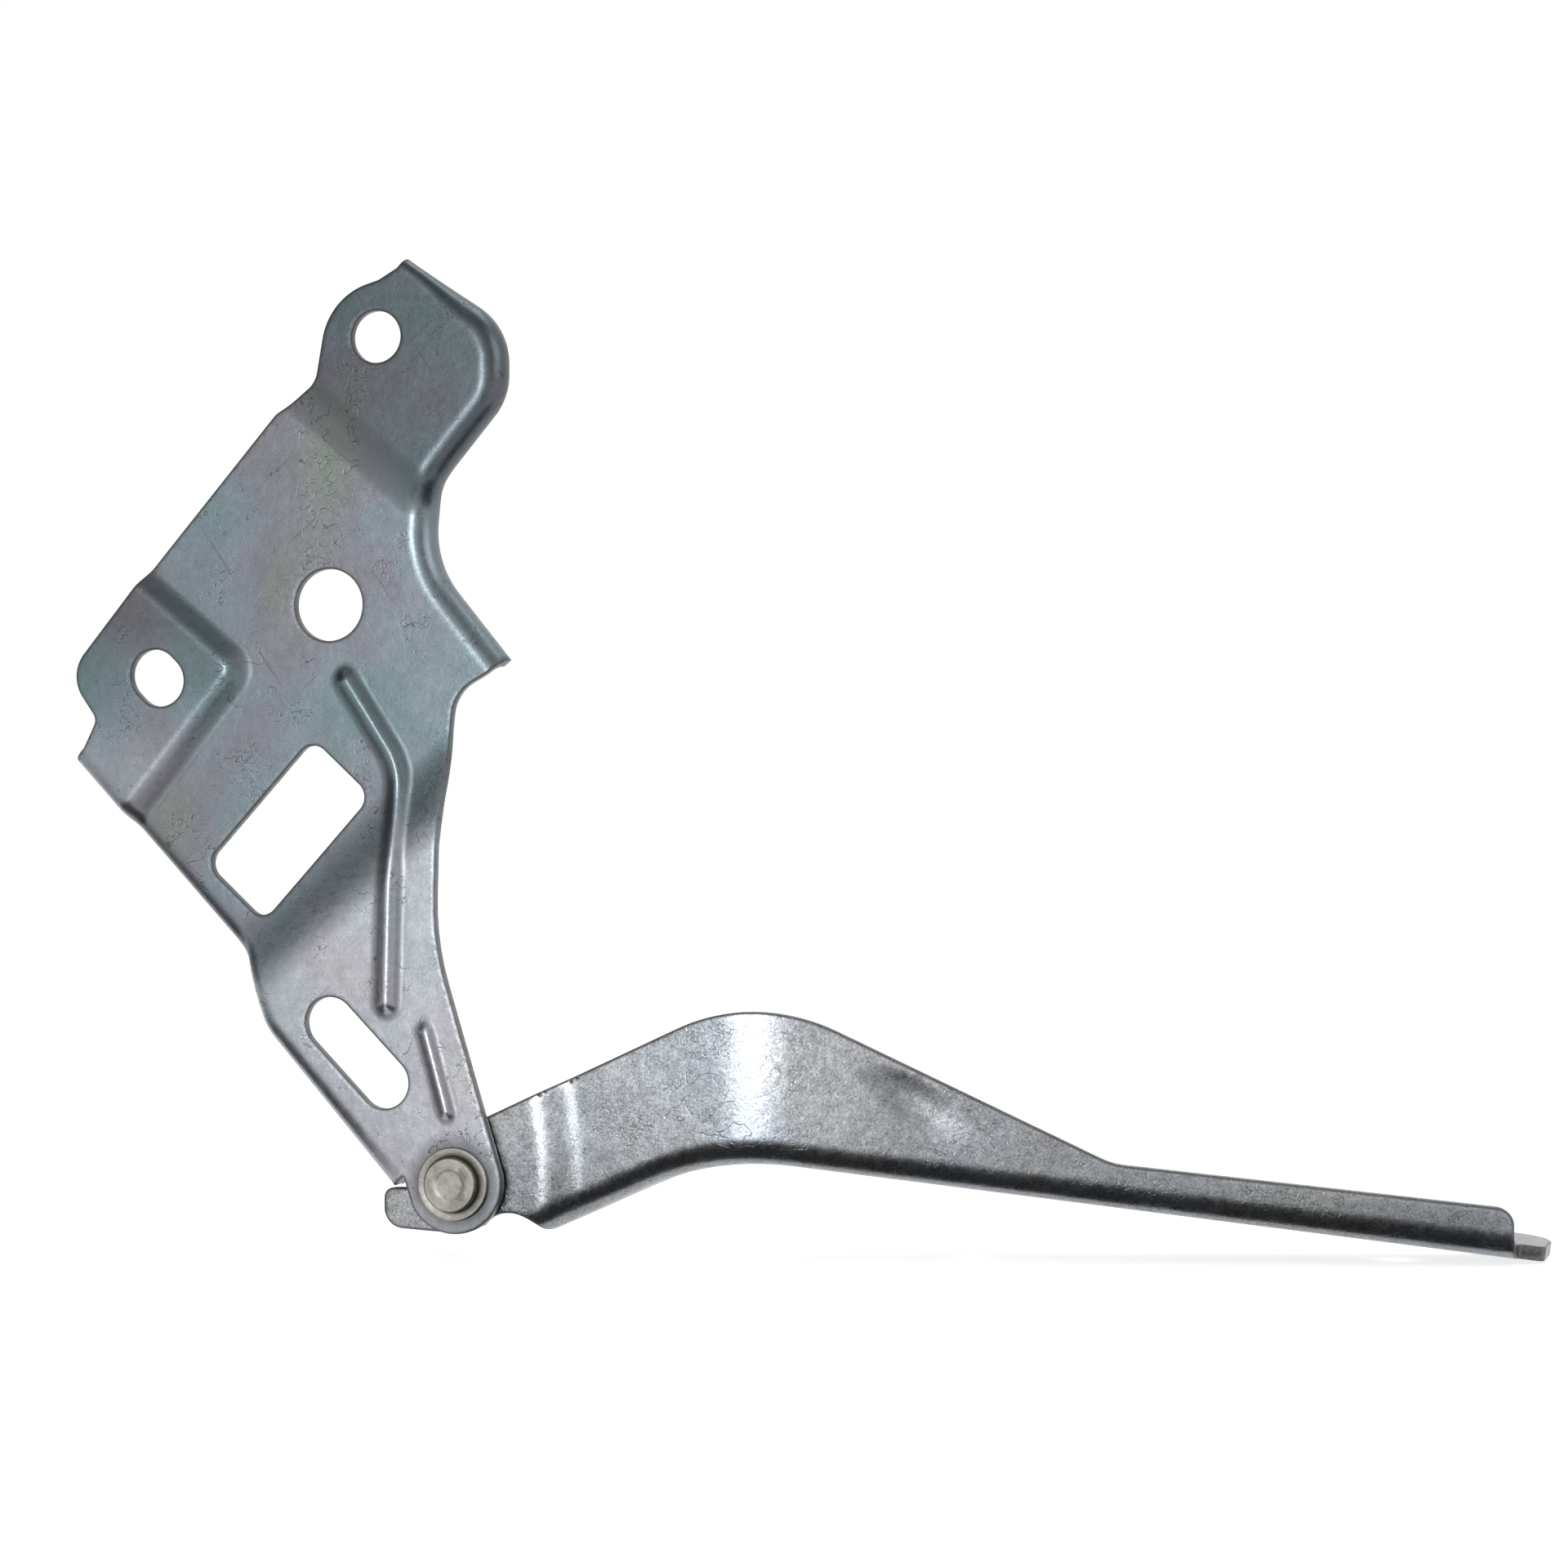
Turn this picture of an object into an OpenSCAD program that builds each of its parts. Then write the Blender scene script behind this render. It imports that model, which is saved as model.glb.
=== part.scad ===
// Hood hinge of a car: a pressed body bracket and a pressed hood arm on one riveted pivot.
// The frame has X to the right, Y away from the viewer and Z up, as the hinge is seen from the body side.
// The origin is the centre of the upper body bolt hole, on the face that seats against the body.
// Plain points in the outlines are [x, z] offsets from the nearest of three anchors: the upper bolt
// hole, the lower bolt hole or the pivot. A third number is the radius that rounds that corner.

/* [Body bracket] */
// Thickness of the bracket's sheet
bracket_t = 2.5; // [2:0.1:3]
// How far left of the upper bolt hole the lower bolt hole lies
lower_hole_left = 52.4; // [48:0.2:57]
// How far below the upper bolt hole the lower bolt hole lies
lower_hole_down = 74.8; // [70:0.2:80]
// Diameter of the upper bolt hole
bolt_hole_d = 11.5; // [9:0.1:13]
// Extra length of the lower bolt hole, for adjustment
bolt_hole_play = 1.8; // [0.5:0.1:3]
// Diameter of the large middle hole
middle_hole_d = 16; // [12:0.5:19]
// How proud the two seating pads stand of the main plate
pad_rise = 3; // [2:0.25:4]
// How far the pivot zone steps forward of the main plate
step_rise = 4; // [2:0.25:5]
// Length of the window
window_len = 38; // [32:0.5:39]
// Width of the window
window_w = 18.9; // [15:0.1:19.4]
// Distance between the two end centres of the lower slot
slot_run = 18.2; // [14:0.2:20]
// Width of the lower slot
slot_w = 11.4; // [8:0.2:12]
// Depth of the right flange, from the face of the plate
right_flange_deep = 6.5; // [6:0.25:9]
// Depth of the left flange, from the face of the plate
left_flange_deep = 8; // [7:0.25:10]
// Outer bend radius of the right flange
right_bend_r = 5; // [4:0.25:5.5]
// Outer bend radius of the left flange
left_bend_r = 4; // [3.5:0.25:4.5]

/* [Beads] */
// Height of the long stiffening bead
long_bead_h = 2; // [1:0.1:2.5]
// Width of the long stiffening bead
long_bead_w = 7; // [5:0.25:8]
// Height of the short stiffening bead
short_bead_h = 1.3; // [0.8:0.1:1.8]
// Width of the short stiffening bead
short_bead_w = 4.6; // [3.5:0.1:5.5]

/* [Pivot] */
// How far right of the upper bolt hole the pivot lies
pivot_right = 18.6; // [16:0.2:22]
// How far below the upper bolt hole the pivot lies
pivot_down = 186; // [180:0.5:192]
// Radius of the bracket's round end at the pivot
boss_r = 11; // [10:0.1:12]
// Diameter of the rivet's shank
shank_d = 9; // [8:0.1:9.4]
// Diameter of the rivet's formed head
formed_head_d = 12; // [11:0.1:13]
// Height of the rivet's formed head
formed_head_h = 1.8; // [1.2:0.1:2.4]
// Diameter of the rivet's set head, behind the arm
set_head_d = 16; // [14:0.5:17]
// Height of the rivet's set head
set_head_h = 3; // [2.4:0.1:3.6]
// Outer diameter of the washer under the formed head
head_washer_d = 16.2; // [15:0.1:17]
// Thickness of the washer under the formed head
head_washer_t = 1; // [0.8:0.1:1.4]
// Outer diameter of the bush's sleeve
bush_d = 11; // [10.6:0.1:11.6]
// Outer diameter of the bush's flange and of the thrust washer
bush_flange_d = 17; // [15:0.5:18]
// Thickness of the bush's flange
bush_flange_t = 0.8; // [0.6:0.1:1.2]
// Thickness of the thrust washer in front of the set head
thrust_washer_t = 1; // [0.8:0.1:1.4]
// Running clearance round the shank, on the radius
running_gap = 0.05; // [0.02:0.01:0.1]
// End play between the turning faces
end_play = 0.1; // [0.05:0.01:0.2]

/* [Hood arm] */
// Thickness of the arm's sheet
arm_t = 3.2; // [2.8:0.1:3.6]
// How far the arm's web steps back beside the pivot
arm_step = 2.5; // [1.5:0.1:3]
// Height of the arm's hump above the pivot
hump_up = 42.6; // [39:0.2:45]
// Length of the arm's web, from the pivot
web_reach = 225; // [216:0.5:229]
// Length that the hood flange runs on past the web
flange_tip = 6; // [4:0.5:8]
// Width of the hood flange
flange_w = 27; // [24:0.5:30]
// Outer bend radius between web and hood flange
arm_bend_r = 6; // [5:0.25:6.5]
// Angle by which the arm turns away after the hump
arm_turn = 14; // [10:0.5:16]
// Diameter of the two hood bolt holes
hood_hole_d = 9; // [8.5:0.1:11]
// Distance from the web's front face to the hood bolt holes
hood_hole_back = 16; // [13:0.5:18]
// Distance between the two hood bolt holes
hood_hole_pitch = 90; // [70:1:96]
// Depth of the lens-shaped dent in the web
dent_deep = 1.5; // [0.5:0.1:2]

/* [Hidden] */
$fn = 48;

plate_colour = [0.55, 0.58, 0.60];
arm_colour = [0.66, 0.67, 0.69];
pivot_colour = [0.72, 0.71, 0.66];

// The third value is 0, so that an offset with a radius keeps it
upper = [0, 0, 0];
lower = [-lower_hole_left, -lower_hole_down, 0];
pivot = [pivot_right, -pivot_down, 0];
main_y = pad_rise;
pivot_y = main_y - step_rise;
// Reach of cutting tools past the sheets, and what keeps two surfaces from lying in one plane
deep = 40;
far = 150;
hair = 0.02;

// Widths of the three pressed ramps and of the steps in their S-shaped section
ramp_upper = 10.5;
ramp_lower = 4.2;
ramp_pivot = 18;
ramp_steps = 8;
// Direction of the upper pad's ramp, its distance from the bolt hole, and the same for the pivot step
upper_ramp_dir = -40;
upper_ramp_away = 21.1;
step_dir = 41;
step_away = 67.7;
// Corner of the lower pad's ramp: centre of its rounding, outer radius and direction of the first side
pad_corner = lower + [14, 1.8];
pad_corner_r = 8;
pad_dir = 140.5;

function unit(v) = v / norm(v);
function turn(a) = [cos(a), sin(a)];
function wrap(a) = a > 180 ? a - 360 : a < -180 ? a + 360 : a;
function mix(a, b, k) = a + (b - a) * k;
function ease(u) = u <= 0 ? 0 : u >= 1 ? 1 : (1 - cos(180 * u)) / 2;

// Points of the arc that rounds corner b, between its neighbours a and c
function corner_arc(a, b, c, r) =
    r == 0 || r == undef ? [b] :
    let (u = unit(a - b), v = unit(c - b), half = acos(u * v) / 2,
         m = b + unit(u + v) * r / sin(half),
         p = b + u * r / tan(half) - m, q = b + v * r / tan(half) - m,
         start = atan2(p.y, p.x), sweep = wrap(atan2(q.y, q.x) - start),
         n = max(2, ceil(abs(sweep) / 11)))
    [for (i = [0 : n]) m + r * turn(start + sweep * i / n)];
function flat(p) = [p.x, p.y];
function rounded_path(pts) = let (n = len(pts)) [for (i = [0 : n - 1]) each
    i == 0 || i == n - 1 ? [flat(pts[i])] :
    corner_arc(flat(pts[i - 1]), flat(pts[i]), flat(pts[i + 1]), pts[i][2])];
// The same path with no stretch longer than the given step
function divided(path, step) = [
    for (i = [0 : len(path) - 2]) let (n = ceil(norm(path[i + 1] - path[i]) / step))
        each [for (k = [0 : n - 1]) mix(path[i], path[i + 1], k / n)],
    path[len(path) - 1]];
// Unit vector to the left of the path's travel at point i
function left_of(path, i) =
    let (last = len(path) - 1, d = unit(path[min(i + 1, last)] - path[max(i - 1, 0)])) [-d.y, d.x];

// Heights of the pressed form over the main plate, from 0 outside a ramp to 1 past it
function past_line(p, at, dir, width) = ease(((p - at) * turn(dir + 90)) / width + 0.5);
upper_line = upper + upper_ramp_away * turn(upper_ramp_dir - 90);
step_line = pivot + step_away * turn(step_dir + 90);
function lower_pad_inset(p) =
    let (q = p - pad_corner, a = -q * turn(pad_dir), b = -q * turn(pad_dir + 90))
    pad_corner_r - (a > 0 && b > 0 ? norm([a, b]) : max(a, b));
// Depth of the bracket's front face at a point
function face_y(p) = main_y - pad_rise * past_line(p, upper_line, upper_ramp_dir, ramp_upper)
    - step_rise * past_line(p, step_line, step_dir + 180, ramp_pivot)
    - pad_rise * ease(lower_pad_inset(p) / ramp_lower);

// Outer faces of the two flanges, as paths with the sheet on their left, and where the bends meet the plate
right_edge = divided(rounded_path([upper + [28.4, -71.2], upper + [4.7, -42.4, 21.5],
    upper + [29, -13.7, 14], upper + [29, 1.6, 15], upper + [6.5, 17.2]]), 4);
left_edge = divided(rounded_path([lower + [-20.8, -18.4], lower + [20, -61.7, 8], lower + [25.7, -78, 12],
    pivot + [-14.8, -1.2]]), 4);
right_inner = [for (i = [0 : len(right_edge) - 1]) right_edge[i] + right_bend_r * left_of(right_edge, i)];
left_inner = [for (i = [0 : len(left_edge) - 1]) left_edge[i] + left_bend_r * left_of(left_edge, i)];

// A solid through rings of equal length. Each end is closed by a strip between the ring's two halves
module loft(rings) {
    n = len(rings[0]);
    m = len(rings);
    function strip(k, i) = [[k + i, k + i + 1, k + n - 1 - i], [k + n - 1 - i, k + i + 1, k + n - 2 - i]];
    polyhedron([for (ring = rings) each ring],
        [for (i = [0 : n / 2 - 2]) each strip(0, i),
         for (k = [0 : m - 2], i = [0 : n - 1]) let (j = (i + 1) % n, a = k * n, b = a + n)
             each [[a + i, b + i, a + j], [a + j, b + i, b + j]],
         for (i = [0 : n / 2 - 2], t = strip((m - 1) * n, i)) [t[2], t[1], t[0]]]);
}

// Carries a flat outline through the depths from y0 to y1
module through(y0, y1) { rotate([90, 0, 0]) translate([0, 0, -y1]) linear_extrude(y1 - y0) children(); }
// A round bar along Y at point p
module bar(p, r, y0, y1) {
    translate([p.x, y0, p.y]) rotate([-90, 0, 0]) cylinder(h = y1 - y0, r = r);
}
// Everything behind a plate that rises from depth low to depth high across a straight ramp
module ramp_block(at, dir, width, low, high) {
    translate([at.x, 0, at.y]) rotate([0, -(dir + 90), 0]) linear_extrude(2 * far, center = true)
        polygon([[-far, deep], [-far, low],
                 for (k = [0 : ramp_steps]) let (u = k / ramp_steps) [(u - 0.5) * width, mix(low, high, ease(u))],
                 [far, high], [far, deep]]);
}
// The lower pad: two straight ramps that meet in a rounded corner
module lower_pad() {
    away = 60;
    a = turn(pad_dir);
    b = turn(pad_dir + 90);
    function ring(inset, y) =
        let (arc = [for (i = [0 : 6]) pad_corner + (pad_corner_r - inset) * turn(pad_dir - 90 - 15 * i)])
        [for (p = [each arc, arc[6] + away * b, pad_corner + away * (a + b), arc[0] + away * a])
            [p.x, y, p.y]];
    loft([for (k = [ramp_steps : -1 : 0]) let (u = k / ramp_steps)
              ring(ramp_lower * u, main_y - pad_rise * ease(u)),
          ring(0, deep - 1)]);
}
// A raised bead with round ends along a path of points
module bead(path, w, h) {
    end = [0.06, 0.2, 0.45, 1];
    n = len(path);
    along = unit(path[1] - path[0]);
    back = unit(path[n - 1] - path[n - 2]);
    function from_ends(p) = min(norm(p - path[0]), norm(p - path[n - 1]));
    stations = [for (u = end) [path[0] + along * u * w / 2, [-along.y, along.x], sqrt(1 - pow(1 - u, 2))],
                for (i = [1 : n - 2]) if (from_ends(path[i]) > 0.6 * w) [path[i], left_of(path, i), 1],
                for (k = [3 : -1 : 0]) let (u = end[k])
                    [path[n - 1] - back * u * w / 2, [-back.y, back.x], sqrt(1 - pow(1 - u, 2))]];
    section = [[1, -0.6], [1, 0], [0.55, 0.62], [0.12, 1], [-0.12, 1], [-0.55, 0.62], [-1, 0], [-1, -0.6]];
    loft([for (s = stations) [for (c = section) let (p = s[0] + s[1] * c[0] * s[2] * w / 2)
        [p.x, face_y(p) - c[1] * h * s[2], p.y]]]);
}
module bracket_form() {
    ramp_block(step_line, step_dir + 180, ramp_pivot, main_y, pivot_y);
    ramp_block(upper_line, upper_ramp_dir, ramp_upper, main_y, main_y - pad_rise);
    lower_pad();
    bead(divided(rounded_path([pivot + [-26.5, 110.5], pivot + [-14.2, 91.5, 14],
                               pivot + [-15.5, 39.2]]), 3), long_bead_w, long_bead_h);
    bead(divided([pivot + [-6.5, 33.5], pivot + [-1.5, 15.5]], 3), short_bead_w, short_bead_h);
}
// A bend and its flange along an edge, as one band of sheet. Its inner border dips into the plate over the
// lip's width, just behind a ridge that stands a little proud, so that band and plate cross cleanly
module flange(edge, r, legs, t) {
    lip = 0.8;
    proud = 0.03;
    loft([for (i = [0 : len(edge) - 1]) let (n = left_of(edge, i), y = face_y(edge[i] + n * r), leg = legs[i])
        [for (c = [[r + lip, lip / 2], [r, -proud], for (a = [18 : 18 : 72]) [r - r * sin(a), r - r * cos(a)],
                   [0, r], [0, leg], [t, leg], [t, r],
                   for (a = [72 : -18 : 18]) [r - (r - t) * sin(a), r - (r - t) * cos(a)],
                   [r, t + proud], [r + lip, t - lip / 2]])
            [edge[i].x + n.x * c[0], y + c[1], edge[i].y + n.y * c[0]]]]);
}
module bracket_outline() {
    polygon([each rounded_path([lower + [-17.9, -15.6], lower + [-21.4, -17.4, 1.2],
                 lower + [-14.8, -9.2, 2.5], lower + [-21.8, 0.9, 8], lower + [-1.2, 25.8, 30],
                 upper + [-25, -16.2, 6], upper + [-14.4, -9.9, 5], upper + [-11.1, 9, 15],
                 upper + [0.6, 12.5, 3], right_edge[len(right_edge) - 1]]),
             for (i = [len(right_inner) - 1 : -1 : 0]) right_inner[i],
             each rounded_path([right_inner[0], pivot + [-1.4, 107.5, 9], pivot + [-3.9, 84, 40],
                 pivot + [-4.7, 53, 60], pivot + boss_r * turn(16), pivot]),
             pivot + boss_r * turn(209),
             for (i = [len(left_inner) - 1 : -1 : 0]) left_inner[i]]);
    translate(pivot) circle(boss_r);
}
// A slot with round ends. Its straight part is a hair narrower, so that the surfaces cross cleanly
module slot_bar(p, run, w, dir) {
    for (k = [-0.5, 0.5]) bar(p + k * run * turn(dir), w / 2, -deep, deep);
    translate([p.x, 0, p.y]) rotate([0, -dir, 0]) cube([run, 2 * deep, w - hair], center = true);
}
module window() {
    r = 3.8;
    dir = 47.5;
    a = turn(dir) * (window_len / 2 - r);
    b = turn(dir + 90) * (window_w / 2 - r);
    at = lower + [30.2, -34];
    for (i = [-1, 1], j = [-1, 1]) bar(at + i * a + j * b, r, -deep, deep);
    for (size = [[window_len - 2 * r, window_w - hair], [window_len - hair, window_w - 2 * r]])
        translate([at.x, 0, at.y]) rotate([0, -dir, 0]) cube([size[0], 2 * deep, size[1]], center = true);
}
module body_bracket() {
    right_last = len(right_edge) - 1;
    color(plate_colour) difference() {
        union() {
            intersection() {
                difference() {
                    bracket_form();
                    translate([0, bracket_t, 0]) bracket_form();
                }
                through(-deep / 2, deep - 2) bracket_outline();
            }
            flange(right_edge, right_bend_r, [for (i = [0 : right_last])
                mix(right_bend_r + 0.4, right_flange_deep, ease(4 - 4 * i / right_last))], bracket_t);
            flange(left_edge, left_bend_r, [for (p = left_edge) left_flange_deep], bracket_t);
        }
        bar(upper, bolt_hole_d / 2, -deep, deep);
        slot_bar(lower, bolt_hole_play, bolt_hole_d, 135);
        bar(upper + [-12.4, -58.8], middle_hole_d / 2, -deep, deep);
        window();
        slot_bar(pivot + [-22.7, 28.3], slot_run, slot_w, -45.5);
        bar(pivot, shank_d / 2, -deep, deep);
    }
}

// Depths of the pivot stack, from the front face of the bracket's pivot zone
arm_front = bracket_t + end_play + bush_flange_t;
set_head_y = arm_front + arm_t + thrust_washer_t + end_play;
web_y = arm_front + arm_step;
// The arm in front view: bend after the hump, top edge and lower face, and the hood flange's slope
bend_start = 58;
bend_end = 74;
bend_r = (bend_end - bend_start) / (arm_turn * PI / 180);
neck_x = 21;
flange_slope = 0.1285;
flange_tilt = atan(flange_slope);
flange_level = 14;
top_r = 4;
tip_r = 8;
top_line = rounded_path([[-7, 8.4], [66.9, hump_up, 40], [141.7, 5.7, 16], [web_reach + 20, -5.9]]);
low_line = rounded_path([[neck_x - 2, -10.7], [56.7, flange_level - flange_slope * 56.7, 60],
    [web_reach + 20, flange_level - flange_slope * (web_reach + 20)]]);
width_line = rounded_path([[neck_x, arm_bend_r + 1], [78, flange_w, 40], [web_reach + 20, flange_w]]);

function arm_y(x) = let (a = min(max(x - bend_start, 0), bend_end - bend_start) / bend_r * 180 / PI)
    web_y + bend_r * (1 - cos(a)) + max(x - bend_end, 0) * tan(arm_turn);
function low_z(x) = lookup(x, low_line);
// What a corner of radius r, ending at x = end, takes off an edge
function rounded_off(x, end, r) = r - sqrt(pow(r, 2) - pow(min(max(x - end + r, 0), r), 2));
function top_z(x) = lookup(x, top_line) - rounded_off(x, web_reach, top_r);
function tip_round(x) = rounded_off(x, web_reach + flange_tip, tip_r);
// Lens-shaped dent: deepest on its long axis, none at its rim
dent_at = [101.8, 17.4];
dent_dir = -36.5;
dent_half = [13.5, 4.2];
function dent(x, z) = let (q = [x, z] - dent_at, u = q * turn(dent_dir) / dent_half[0],
    v = q * turn(dent_dir + 90) / dent_half[1], k = 1 - u * u - v * v) k > 0 ? dent_deep * k : 0;

// Web, bend and hood flange in one sheet; past the web's end only the flange is left
module arm_sheet() {
    rows = 6;
    angles = [18 : 18 : 72];
    function section(x) =
        let (y = arm_y(x), low = low_z(x), r = arm_bend_r, ri = r - arm_t, c = [y + r, low + r],
             end = y + lookup(x, width_line) - tip_round(x),
             zs = [for (j = [0 : rows]) mix(top_z(x), low + r, j / rows)])
        [for (z = zs) [x, y + dent(x, z), z], for (a = angles) [x, c.x - r * cos(a), c.y - r * sin(a)],
         [x, c.x, low], [x, end, low], [x, end, low + arm_t], [x, c.x, low + arm_t],
         for (a = [72 : -18 : 18]) [x, c.x - ri * cos(a), c.y - ri * sin(a)],
         for (j = [rows : -1 : 0]) [x, y + arm_t + dent(x, zs[j]), zs[j]]];
    stations = [for (x = [neck_x : 4.2 : 84]) x, for (x = [86 : 2.5 : 118.5]) x,
        for (x = [126 : 10 : web_reach - 6]) x,
        for (u = [1, 0.6, 0.3, 0.1, 0.01]) web_reach - top_r * u,
        for (u = [0.3, 0.6, 0.85, 0.98]) web_reach + flange_tip * u];
    difference() {
        loft([for (x = stations) section(x)]);
        translate([web_reach, arm_y(web_reach), 0]) rotate([0, 0, arm_turn])
            translate([0, arm_bend_r - deep, -deep]) cube([deep, deep, 2 * deep]);
    }
}
// The pivot end: a raised land round the pivot, with the web stepped back beside it
module arm_neck_form() {
    land_r = 12.5;
    translate([-far, web_y, -far]) cube([2 * far, deep, 2 * far]);
    translate([-far, arm_front, -far]) cube([far, deep, 2 * far]);
    translate([0, arm_front, 0]) rotate([-90, 0, 0])
        cylinder(h = arm_step, r1 = land_r, r2 = land_r + 2 * arm_step);
}
// Its round end, the tab that stops it against the bracket's flange, and the notch below
module arm_neck_outline() {
    end_r = 10.5;
    low = -9.6;
    stop_reach = 17.6;
    stop_top = -1.45;
    notch_r = 8;
    difference() {
        union() {
            circle(end_r);
            polygon(rounded_path([[0, 0], [-end_r, 0], [-end_r, stop_top], [-stop_reach, stop_top, 2.2],
                [-stop_reach, -10.2, 4.5], [-4, -11, 8], [5.6, low - 0.1], [8, low], [neck_x, low],
                [neck_x, top_z(neck_x)], [-4.4, top_z(-4.4)]]));
        }
        translate([11.5, -14.4]) circle(notch_r);
    }
}
// Place of the first hood bolt hole on the flange's seating face, and the way to the second
hole_at = let (x = 112) [x, arm_y(x) + hood_hole_back, low_z(x)];
hole_way = unit([1, tan(arm_turn), -flange_slope]);
module hood_arm() {
    color(arm_colour) translate([pivot.x, pivot_y, pivot.y]) difference() {
        union() {
            intersection() {
                difference() {
                    arm_neck_form();
                    translate([0, arm_t, 0]) arm_neck_form();
                }
                through(0, deep / 2) arm_neck_outline();
            }
            arm_sheet();
        }
        bar([0, 0], bush_d / 2, 0, deep);
        for (k = [0, 1]) translate(hole_at + k * hood_hole_pitch * hole_way) rotate([0, flange_tilt, 0])
            cylinder(h = deep, d = hood_hole_d, center = true);
    }
}

module turned(profile) {
    color(pivot_colour) translate([pivot.x, pivot_y, pivot.y]) rotate([-90, 0, 0])
        rotate_extrude() polygon(profile);
}
module pivot_rivet() {
    r = shank_d / 2;
    front = -head_washer_t - formed_head_h;
    dimple_r = 3.4;
    dimple = 0.25;
    head_r = formed_head_d / 2;
    set_r = set_head_d / 2;
    back = set_head_y + set_head_h;
    turned([[0, front + dimple], [dimple_r, front + dimple], [dimple_r + 0.6, front],
            [head_r - 0.5, front], [head_r, front + 0.5], [head_r, -head_washer_t],
            [r, -head_washer_t], [r, set_head_y], [set_r, set_head_y], [set_r, back - 1],
            [set_r - 1.5, back], [0, back]]);
}
module head_washer() {
    r = head_washer_d / 2;
    front = -head_washer_t;
    turned([[shank_d / 2, front], [r - 0.3, front], [r, front + 0.3], [r, 0], [shank_d / 2, 0]]);
}
module pivot_bush() {
    inner = shank_d / 2 + running_gap;
    front = bracket_t + end_play;
    turned([[inner, front], [bush_flange_d / 2, front], [bush_flange_d / 2, arm_front], [bush_d / 2, arm_front],
            [bush_d / 2, arm_front + arm_t], [inner, arm_front + arm_t]]);
}
module thrust_washer() {
    back = arm_front + arm_t;
    inner = shank_d / 2 + running_gap;
    turned([[inner, back], [bush_flange_d / 2, back], [bush_flange_d / 2, back + thrust_washer_t],
            [inner, back + thrust_washer_t]]);
}

body_bracket();
hood_arm();
pivot_rivet();
head_washer();
pivot_bush();
thrust_washer();
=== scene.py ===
# %% [markdown]
# # A hood hinge in zinc-plated steel
# The hinge is two pressings on one riveted pivot. The body bracket is a flat blank with raised seating
# pads, beads, a step and two bent edges; the arm is a thicker blank with a hump and a bent flange.
# The exact solids from the CAD model are the frame. This script lays smooth, dense sheets over them,
# turns the rivet and its washer, and gives every surface its plated finish.

# %% Load the frame
import bmesh
import bpy
import numpy as np
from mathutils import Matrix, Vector
from mathutils.geometry import delaunay_2d_cdt


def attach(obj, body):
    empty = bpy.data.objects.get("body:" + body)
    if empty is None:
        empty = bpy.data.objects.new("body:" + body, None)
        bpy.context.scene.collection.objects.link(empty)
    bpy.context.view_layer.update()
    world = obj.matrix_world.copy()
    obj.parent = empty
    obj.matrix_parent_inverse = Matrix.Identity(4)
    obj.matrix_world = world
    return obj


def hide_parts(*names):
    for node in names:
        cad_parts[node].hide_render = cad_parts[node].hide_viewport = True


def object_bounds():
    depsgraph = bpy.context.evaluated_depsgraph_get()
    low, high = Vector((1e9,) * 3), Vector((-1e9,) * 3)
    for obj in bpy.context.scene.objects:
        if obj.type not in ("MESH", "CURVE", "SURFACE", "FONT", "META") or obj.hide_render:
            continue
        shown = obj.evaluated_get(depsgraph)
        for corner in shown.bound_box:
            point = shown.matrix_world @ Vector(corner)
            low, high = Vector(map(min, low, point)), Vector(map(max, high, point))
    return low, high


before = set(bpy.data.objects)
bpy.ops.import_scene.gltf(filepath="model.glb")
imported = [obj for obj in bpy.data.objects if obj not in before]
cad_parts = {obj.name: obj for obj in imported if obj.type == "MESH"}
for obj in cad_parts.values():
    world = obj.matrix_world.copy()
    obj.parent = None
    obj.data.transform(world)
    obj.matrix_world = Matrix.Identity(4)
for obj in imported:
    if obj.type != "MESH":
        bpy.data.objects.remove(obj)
cad_box = [list(corner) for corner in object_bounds()]
MM = 0.001

# %% [markdown]
# ## Camera
# The picture is square and was taken from 16 degrees to the right of the bolt holes' axis, level with
# the hinge's middle. The distance and the focal length come from how much nearer parts are enlarged.

# %% Camera
eye = Vector((336.2, -846.2, -98.5)) * MM
look_at = Vector((88.1, 18.9, -98.5)) * MM
camera = bpy.data.objects.new("camera", bpy.data.cameras.new("camera"))
camera.data.sensor_width = 36
camera.data.lens = 94.5
camera.data.clip_end = 20
camera.location = eye
camera.rotation_euler = (look_at - eye).to_track_quat("-Z", "Y").to_euler()
bpy.context.collection.objects.link(camera)
bpy.context.scene.camera = camera
print("camera", round((look_at - eye).length, 3), "m from the middle of the hinge")

# %% [markdown]
# ## Plan geometry
# A pressing starts as a flat blank, so both sheets are drawn flat first: points in the plane of X and Z,
# in millimetres, with a third number where a corner is rounded. A blank can be made as a boolean cut, as
# an extruded curve, or as an outline that is triangulated. The last way is used, because each vertex then
# has a place on the flat blank, and one formula can press it into shape.

# %% Rounded outlines
UPPER = np.array([0.0, 0.0])
LOWER = np.array([-52.4, -74.8])
PIVOT = np.array([18.6, -186.0])


def turn(degrees):
    """The unit vector at an angle from X towards Z."""
    a = np.radians(degrees)
    return np.array([np.cos(a), np.sin(a)])


def unit(v):
    return v / np.linalg.norm(v, axis=-1, keepdims=True)


def off(anchor, *points):
    """Points given as offsets from an anchor. The radius of a corner, if there is one, stays as it is."""
    return [(anchor[0] + q[0], anchor[1] + q[1], *q[2:]) for q in points]


def arc(centre, r, start, end):
    """Circle points: centre + r (cos a, sin a), with a from start to end, every 4 degrees or less."""
    a = np.radians(np.linspace(start, end, max(3, int(abs(end - start) / 4) + 1)))
    return [tuple(q) for q in np.asarray(centre) + r * np.stack([np.cos(a), np.sin(a)], 1)]


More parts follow.
